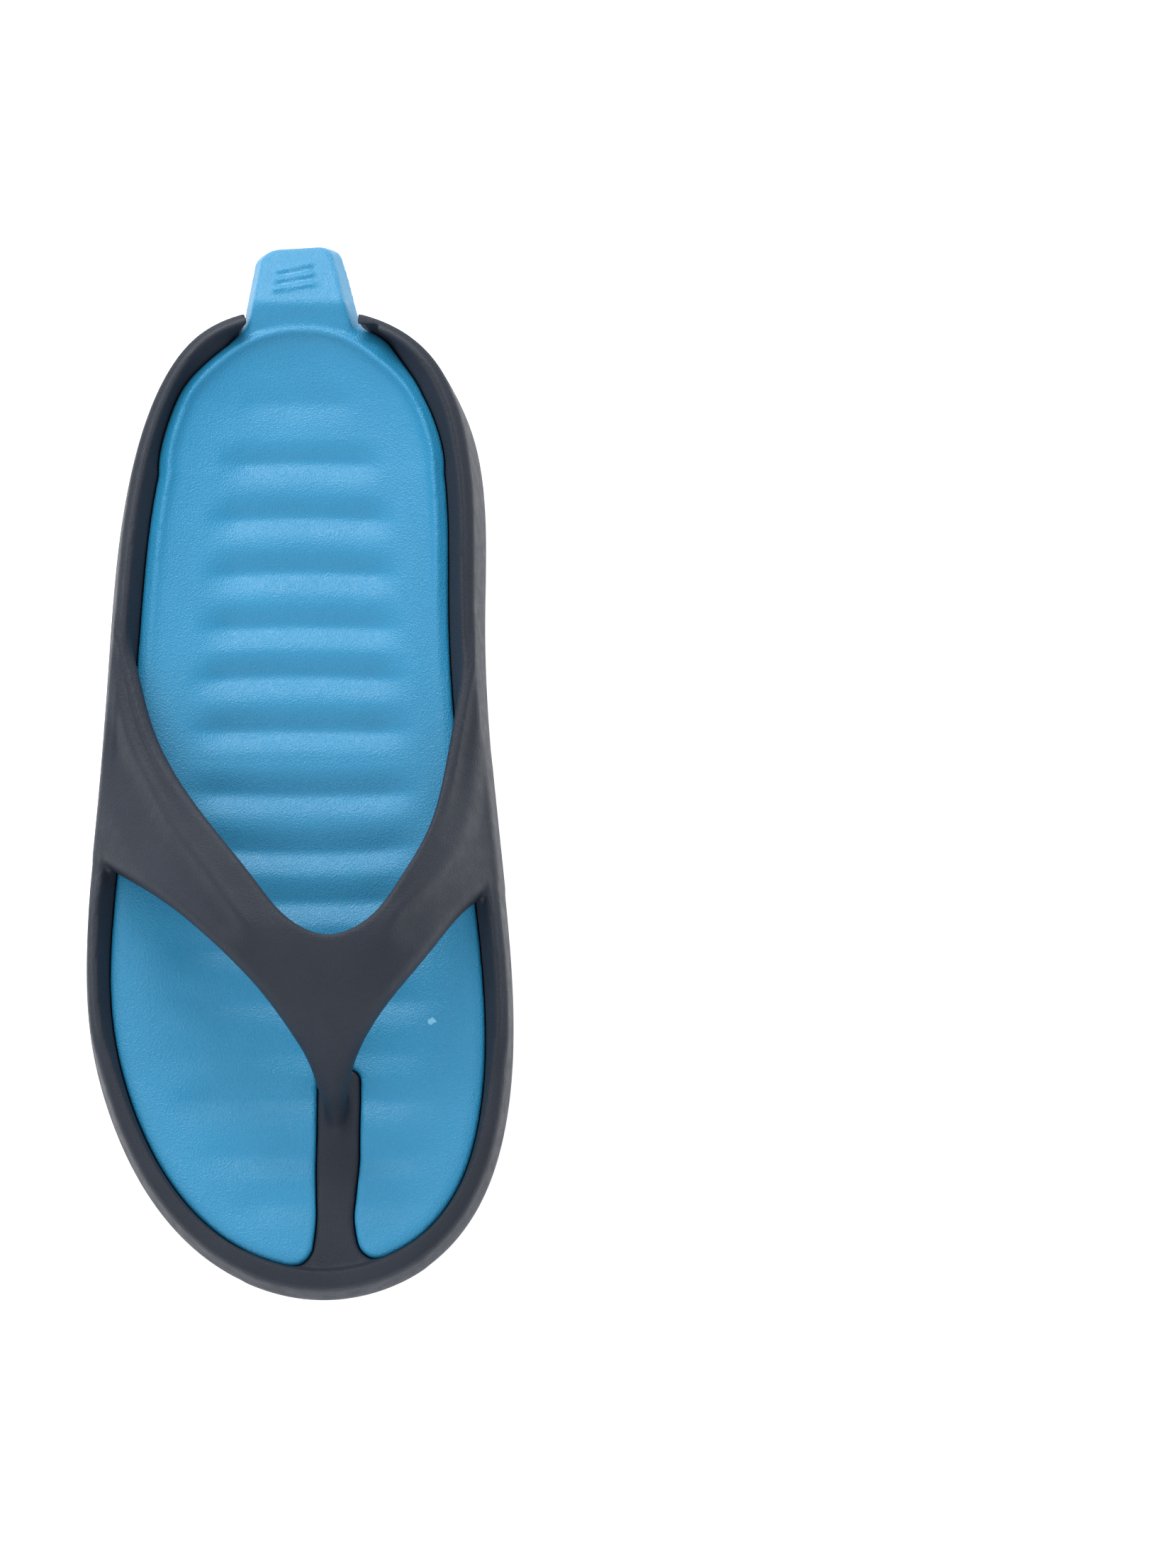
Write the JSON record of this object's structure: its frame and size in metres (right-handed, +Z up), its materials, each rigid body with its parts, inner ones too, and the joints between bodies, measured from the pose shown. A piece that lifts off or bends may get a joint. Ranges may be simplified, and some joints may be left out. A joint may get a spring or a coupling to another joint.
{
  "type": "flip flop",
  "caption": "Moulded foam flip flop with a walled shell, a toe post strap and a ribbed footbed that lifts out by a heel tab.",
  "frame": {"origin": "on the ground, under the middle of the part's whole length and width, heel tab included", "axes": "+Z up, +Y from the toes to the heel, +X towards the big toe side of a right foot"},
  "size_m": [0.1171, 0.2995, 0.0665],
  "materials": {
    "shell_foam": "matte, fine grained closed cell foam",
    "footbed_foam": "matte, fine grained closed cell foam"
  },
  "bodies": {
    "shell": {"sole": "shell_foam", "toe_wall_outer": "shell_foam", "toe_wall_inner": "shell_foam", "side_wall_outer": "shell_foam", "side_wall_inner": "shell_foam", "heel_wall_outer": "shell_foam", "heel_wall_inner": "shell_foam", "strap_outer_arm": "shell_foam", "strap_inner_arm": "shell_foam", "toe_bar": "shell_foam", "toe_post": "shell_foam", "footbed_front": "footbed_foam"},
    "footbed_heel": {"footbed_heel": "footbed_foam", "heel_tab": "footbed_foam"}
  },
  "joints": [
    {"name": "footbed_lift", "type": "hinge", "parent": "shell", "child": "footbed_heel", "pos_m": [0, 0.02401, 0.025], "axis": [1, 0, 0], "range_deg": [0, 60]}
  ]
}
